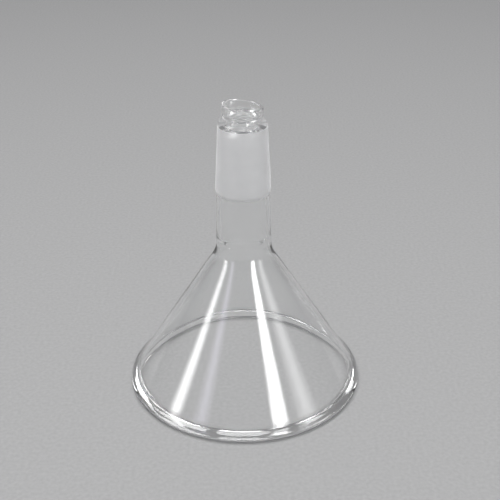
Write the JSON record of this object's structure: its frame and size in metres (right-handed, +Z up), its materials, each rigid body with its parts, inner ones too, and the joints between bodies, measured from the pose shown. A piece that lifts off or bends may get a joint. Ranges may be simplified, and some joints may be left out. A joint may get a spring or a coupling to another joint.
{
  "type": "glass funnel",
  "caption": "Wide clear glass powder funnel, standing mouth down: rolled rim, cone, stem tube, frosted taper joint, narrow groove and flared tip.",
  "frame": {"origin": "centre of the rim's foot, on the surface that the funnel stands on", "axes": "+Z up the funnel's axis, from the wide mouth to the tip; the tip's cut rim is highest towards -X"},
  "size_m": [0.106, 0.106, 0.1341],
  "materials": {
    "clear_glass": "fire-polished clear borosilicate",
    "ground_glass": "ground, white frosted outside"
  },
  "bodies": {
    "root": {"rolled_rim": "clear_glass", "funnel_cone": "clear_glass", "stem_flare": "clear_glass", "stem_tube": "clear_glass", "ground_joint": "ground_glass", "joint_shoulder": "clear_glass", "flared_tip": "clear_glass"}
  },
  "joints": []
}
